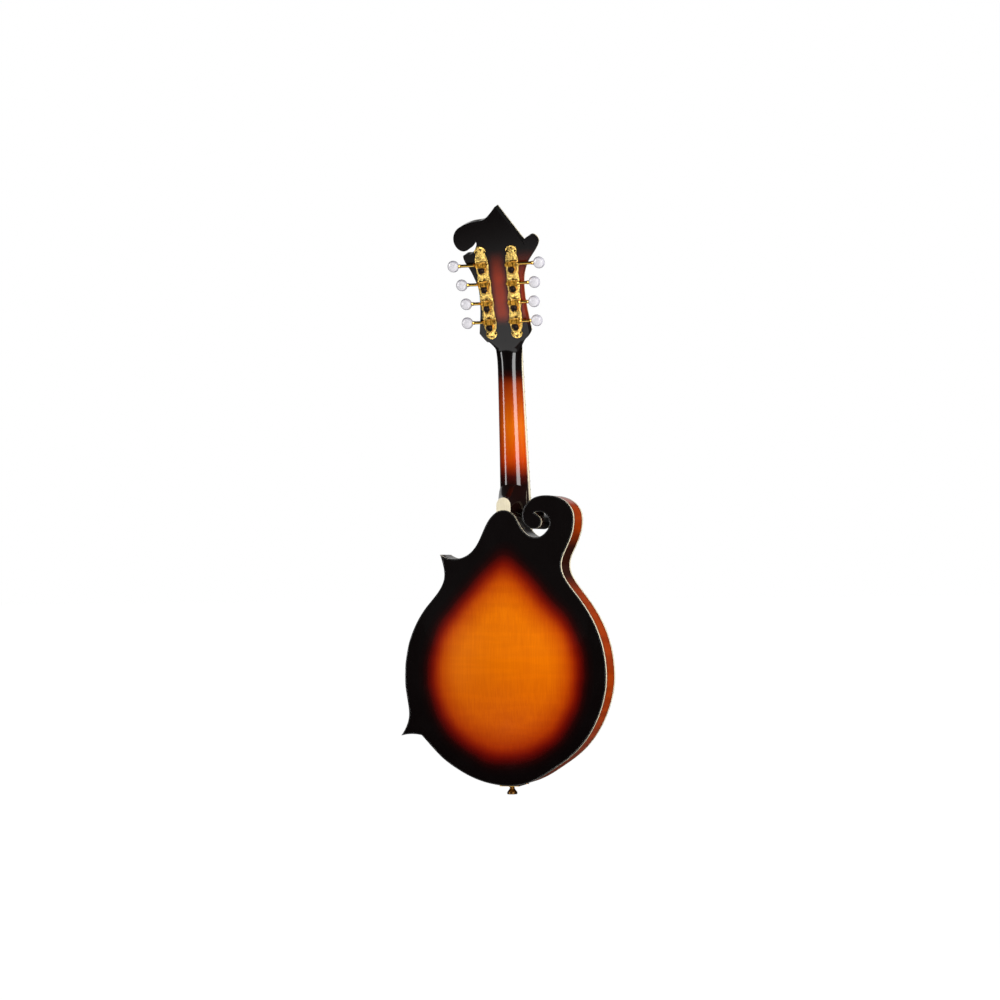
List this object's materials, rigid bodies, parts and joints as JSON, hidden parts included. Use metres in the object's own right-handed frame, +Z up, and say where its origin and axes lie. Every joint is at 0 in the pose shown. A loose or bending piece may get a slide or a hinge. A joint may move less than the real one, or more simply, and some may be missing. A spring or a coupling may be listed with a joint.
{
  "type": "mandolin",
  "caption": "F-style carved mandolin with scroll and points, geared tuners, adjustable bridge and covered tailpiece, gloss sunburst finish.",
  "frame": {"origin": "middle of the neck at the nut, under the peghead's shoulders, where a wall hanger's yoke holds the instrument", "axes": "+Z up the neck towards the peghead, +Y out of the back, -Y out of the string side, -X towards the scroll, +X towards the two body points"},
  "size_m": [0.2568, 0.108, 0.7051],
  "materials": {
    "back_wood": "high-gloss sunburst lacquer over fine straight-grained wood",
    "top_wood": "high-gloss sunburst lacquer over straight-grained spruce",
    "rib_wood": "high-gloss dark amber lacquer",
    "bare_wood": "bare wood inside the body",
    "neck_wood": "high-gloss sunburst lacquer",
    "rosewood": "oiled dark rosewood",
    "black_lacquer": "high-gloss black lacquer",
    "ivory_plastic": "polished ivory-coloured plastic",
    "bone": "polished bone",
    "pearl": "white pearl plastic",
    "black_plastic": "polished black plastic",
    "gold": "polished gold plate",
    "aged_brass": "brass",
    "nickel_silver": "polished fret wire",
    "steel": "bright steel",
    "bronze": "phosphor bronze winding"
  },
  "bodies": {
    "instrument": {"back_plate": "back_wood", "top_plate": "top_wood", "ribs": "rib_wood", "body_blocks": "bare_wood", "linings": "bare_wood", "tone_bars": "bare_wood", "back_binding": "ivory_plastic", "top_binding": "ivory_plastic", "end_pin": "aged_brass", "neck": "neck_wood", "heel_cap": "ivory_plastic", "fingerboard": "rosewood", "fingerboard_binding": "ivory_plastic", "position_dots": "pearl", "frets": "nickel_silver", "nut": "bone", "peghead_veneer": "black_lacquer", "peghead_binding": "ivory_plastic", "truss_rod": "steel", "truss_rod_cover": "black_plastic", "tuner_plate_treble": "gold", "tuner_plate_bass": "gold", "post_bushings": "gold", "peghead_screws": "gold", "bridge_base": "rosewood", "bridge_posts": "gold", "wound_strings": "bronze", "plain_strings": "steel", "tailpiece": "gold", "tailpiece_screws": "gold"},
    "tuner_1": {"worm_shaft_1": "gold", "knob_1": "pearl"},
    "post_1": {"string_post_1": "gold"},
    "tuner_2": {"worm_shaft_2": "gold", "knob_2": "pearl"},
    "post_2": {"string_post_2": "gold"},
    "tuner_3": {"worm_shaft_3": "gold", "knob_3": "pearl"},
    "post_3": {"string_post_3": "gold"},
    "tuner_4": {"worm_shaft_4": "gold", "knob_4": "pearl"},
    "post_4": {"string_post_4": "gold"},
    "tuner_5": {"worm_shaft_5": "gold", "knob_5": "pearl"},
    "post_5": {"string_post_5": "gold"},
    "tuner_6": {"worm_shaft_6": "gold", "knob_6": "pearl"},
    "post_6": {"string_post_6": "gold"},
    "tuner_7": {"worm_shaft_7": "gold", "knob_7": "pearl"},
    "post_7": {"string_post_7": "gold"},
    "tuner_8": {"worm_shaft_8": "gold", "knob_8": "pearl"},
    "post_8": {"string_post_8": "gold"},
    "saddle": {"bridge_saddle": "rosewood"},
    "bass_wheel": {"thumbwheel_bass": "gold"},
    "treble_wheel": {"thumbwheel_treble": "gold"},
    "cover": {"tailpiece_cover": "gold"},
    "truss_nut": {"truss_rod_nut": "steel"}
  },
  "joints": [
    {"name": "tuner_1_turn", "type": "hinge", "parent": "instrument", "child": "tuner_1", "pos_m": [0.0187, 0.04719, 0.09342], "axis": [1, 0, 0], "continuous": true},
    {"name": "post_1_turn", "type": "hinge", "parent": "instrument", "child": "post_1", "pos_m": [0.0187, 0.02638, 0.09297], "axis": [0, -0.9487, 0.3161], "continuous": true},
    {"name": "tuner_2_turn", "type": "hinge", "parent": "instrument", "child": "tuner_2", "pos_m": [0.0179, 0.03979, 0.07122], "axis": [1, 0, 0], "continuous": true},
    {"name": "post_2_turn", "type": "hinge", "parent": "instrument", "child": "post_2", "pos_m": [0.0179, 0.01898, 0.07077], "axis": [0, -0.9487, 0.3161], "continuous": true},
    {"name": "tuner_3_turn", "type": "hinge", "parent": "instrument", "child": "tuner_3", "pos_m": [0.0171, 0.03239, 0.04902], "axis": [1, 0, 0], "continuous": true},
    {"name": "post_3_turn", "type": "hinge", "parent": "instrument", "child": "post_3", "pos_m": [0.0171, 0.01159, 0.04857], "axis": [0, -0.9487, 0.3161], "continuous": true},
    {"name": "tuner_4_turn", "type": "hinge", "parent": "instrument", "child": "tuner_4", "pos_m": [0.0162, 0.02503, 0.02691], "axis": [1, 0, 0], "continuous": true},
    {"name": "post_4_turn", "type": "hinge", "parent": "instrument", "child": "post_4", "pos_m": [0.0162, 0.00422, 0.02647], "axis": [0, -0.9487, 0.3161], "continuous": true},
    {"name": "tuner_5_turn", "type": "hinge", "parent": "instrument", "child": "tuner_5", "pos_m": [-0.0187, 0.04719, 0.09342], "axis": [-1, 0, 0], "continuous": true},
    {"name": "post_5_turn", "type": "hinge", "parent": "instrument", "child": "post_5", "pos_m": [-0.0187, 0.02638, 0.09297], "axis": [0, -0.9487, 0.3161], "continuous": true},
    {"name": "tuner_6_turn", "type": "hinge", "parent": "instrument", "child": "tuner_6", "pos_m": [-0.0179, 0.03979, 0.07122], "axis": [-1, 0, 0], "continuous": true},
    {"name": "post_6_turn", "type": "hinge", "parent": "instrument", "child": "post_6", "pos_m": [-0.0179, 0.01898, 0.07077], "axis": [0, -0.9487, 0.3161], "continuous": true},
    {"name": "tuner_7_turn", "type": "hinge", "parent": "instrument", "child": "tuner_7", "pos_m": [-0.0171, 0.03239, 0.04902], "axis": [-1, 0, 0], "continuous": true},
    {"name": "post_7_turn", "type": "hinge", "parent": "instrument", "child": "post_7", "pos_m": [-0.0171, 0.01159, 0.04857], "axis": [0, -0.9487, 0.3161], "continuous": true},
    {"name": "tuner_8_turn", "type": "hinge", "parent": "instrument", "child": "tuner_8", "pos_m": [-0.0162, 0.02503, 0.02691], "axis": [-1, 0, 0], "continuous": true},
    {"name": "post_8_turn", "type": "hinge", "parent": "instrument", "child": "post_8", "pos_m": [-0.0162, 0.00422, 0.02647], "axis": [0, -0.9487, 0.3161], "continuous": true},
    {"name": "saddle_height", "type": "slide", "parent": "instrument", "child": "saddle", "axis": [0, -1, 0], "range_m": [-0.00105, 0.00105], "deforming": ["wound_strings", "plain_strings"]},
    {"name": "bass_wheel_turn", "type": "hinge", "parent": "saddle", "child": "bass_wheel", "pos_m": [-0.036, -0.034, -0.3505], "axis": [0, -1, 0], "range_deg": [-540, 540]},
    {"name": "treble_wheel_turn", "type": "hinge", "parent": "saddle", "child": "treble_wheel", "pos_m": [0.036, -0.034, -0.3505], "axis": [0, -1, 0], "range_deg": [-540, 540]},
    {"name": "cover_slide", "type": "slide", "parent": "instrument", "child": "cover", "axis": [0, -0.1108, 0.9938], "range_m": [0, 0.015]},
    {"name": "truss_nut_turn", "type": "hinge", "parent": "instrument", "child": "truss_nut", "pos_m": [0, 0.00401, 0.012], "axis": [0, 0.0837, 0.9965], "range_deg": [-180, 180]}
  ],
  "couplings": [
    {"joint": "post_1_turn", "follows": "tuner_1_turn", "ratio": 0.071429},
    {"joint": "post_2_turn", "follows": "tuner_2_turn", "ratio": 0.071429},
    {"joint": "post_3_turn", "follows": "tuner_3_turn", "ratio": 0.071429},
    {"joint": "post_4_turn", "follows": "tuner_4_turn", "ratio": 0.071429},
    {"joint": "post_5_turn", "follows": "tuner_5_turn", "ratio": 0.071429},
    {"joint": "post_6_turn", "follows": "tuner_6_turn", "ratio": 0.071429},
    {"joint": "post_7_turn", "follows": "tuner_7_turn", "ratio": 0.071429},
    {"joint": "post_8_turn", "follows": "tuner_8_turn", "ratio": 0.071429},
    {"joint": "saddle_height", "follows": "bass_wheel_turn", "m_per_rad": 0.00011141},
    {"joint": "treble_wheel_turn", "follows": "bass_wheel_turn", "ratio": 1}
  ]
}
